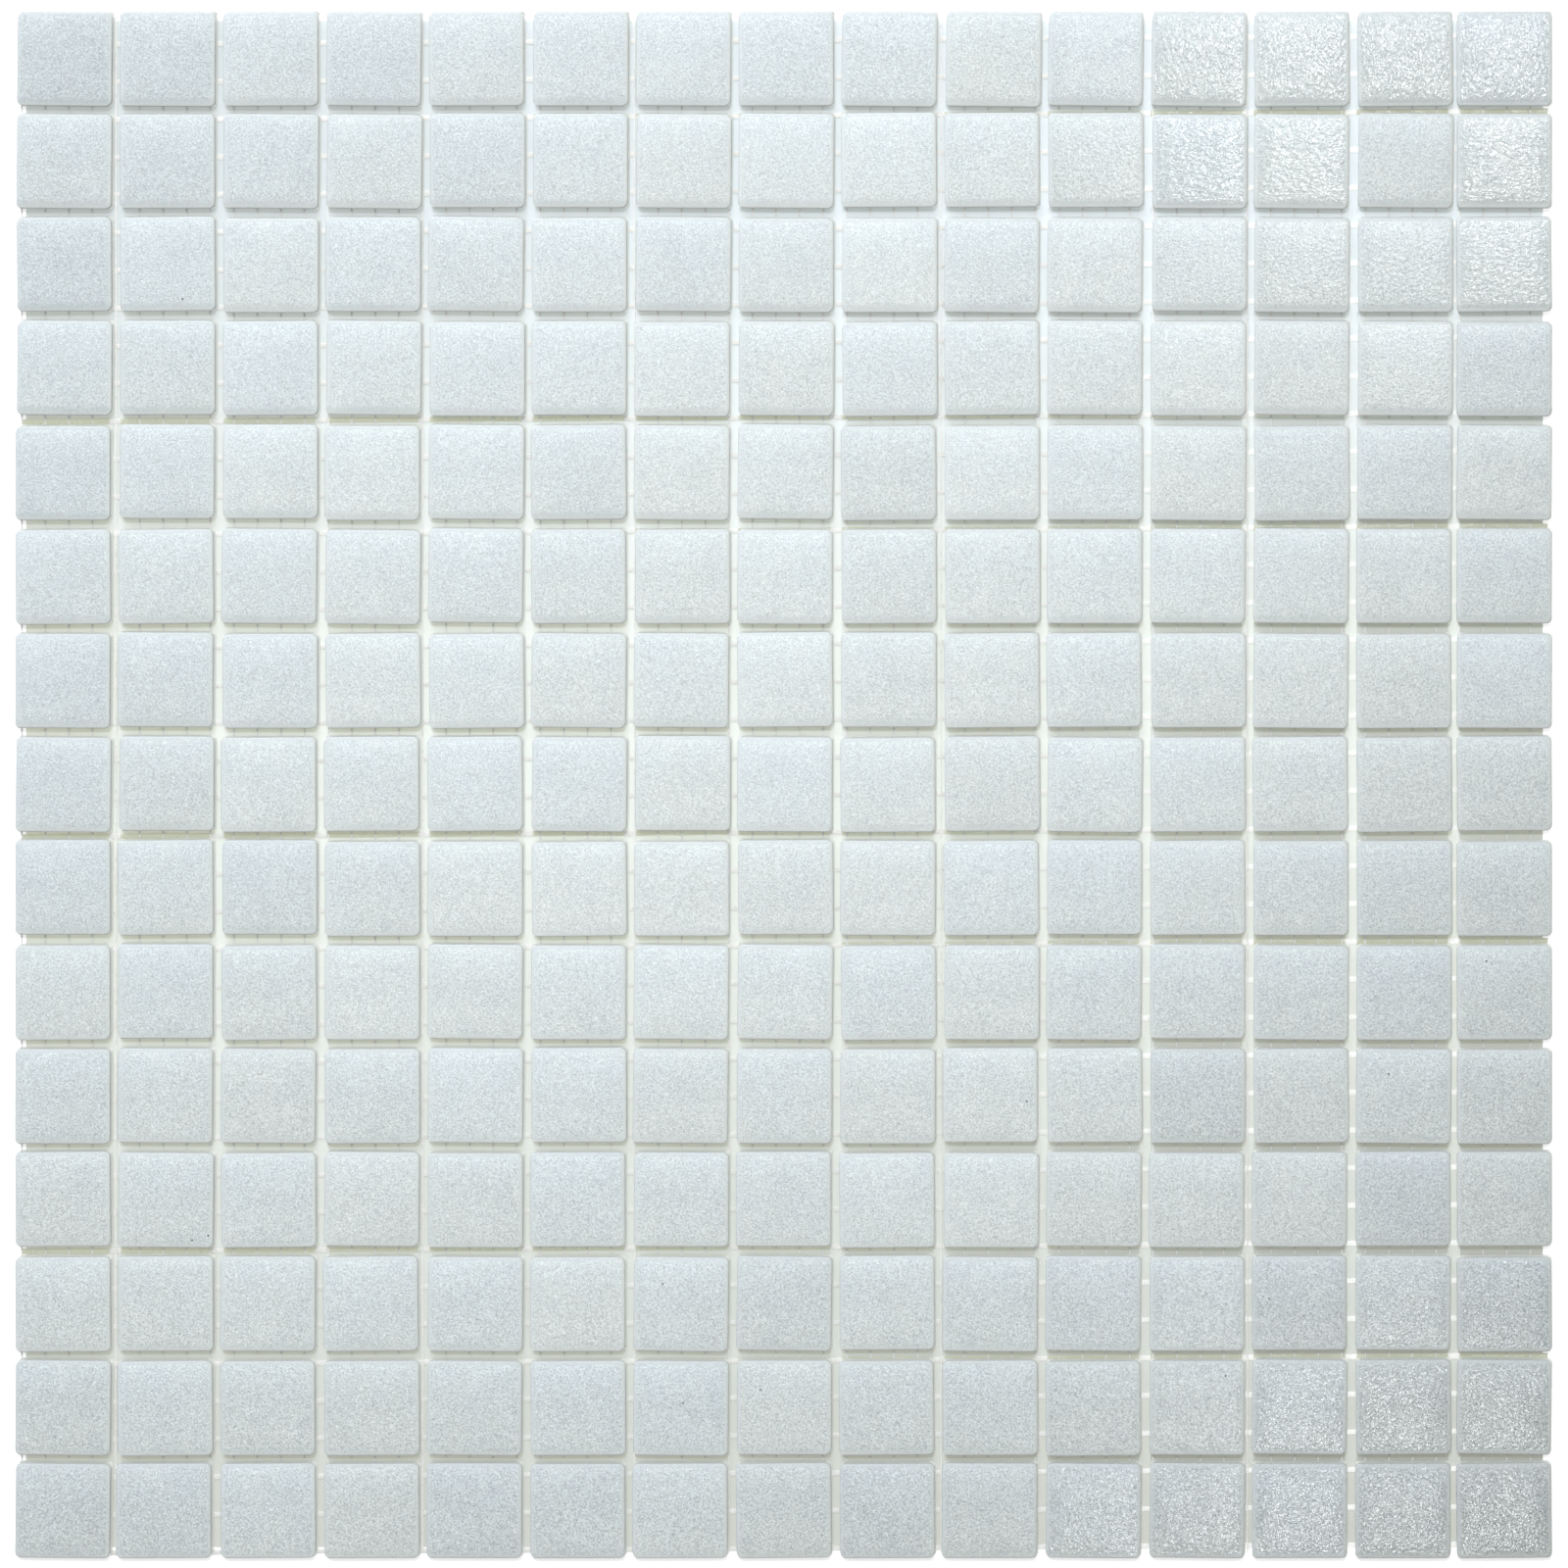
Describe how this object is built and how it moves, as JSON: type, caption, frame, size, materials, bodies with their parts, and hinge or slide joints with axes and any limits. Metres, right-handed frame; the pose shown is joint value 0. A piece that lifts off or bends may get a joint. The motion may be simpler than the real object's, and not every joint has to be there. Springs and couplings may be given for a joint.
{
  "type": "mosaic tile sheet",
  "caption": "Square sheet of small pale glass mosaic tiles, glued by their backs to an open mesh that holds them in even rows until they are bedded.",
  "frame": {"origin": "centre of the underside, where the sheet rests on the floor", "axes": "+X along a row of tiles, +Y from row to row towards the first row, +Z out of the glazed face"},
  "size_m": [0.3258, 0.328, 0.0045],
  "materials": {
    "tile_glass": "satin",
    "mesh_yarn": "matte"
  },
  "bodies": {
    "root": {"tile_row_01": "tile_glass", "tile_row_02": "tile_glass", "tile_row_03": "tile_glass", "tile_row_04": "tile_glass", "tile_row_05": "tile_glass", "tile_row_06": "tile_glass", "tile_row_07": "tile_glass", "tile_row_08": "tile_glass", "tile_row_09": "tile_glass", "tile_row_10": "tile_glass", "tile_row_11": "tile_glass", "tile_row_12": "tile_glass", "tile_row_13": "tile_glass", "tile_row_14": "tile_glass", "tile_row_15": "tile_glass", "mesh_wefts": "mesh_yarn", "mesh_warps": "mesh_yarn"}
  },
  "joints": []
}
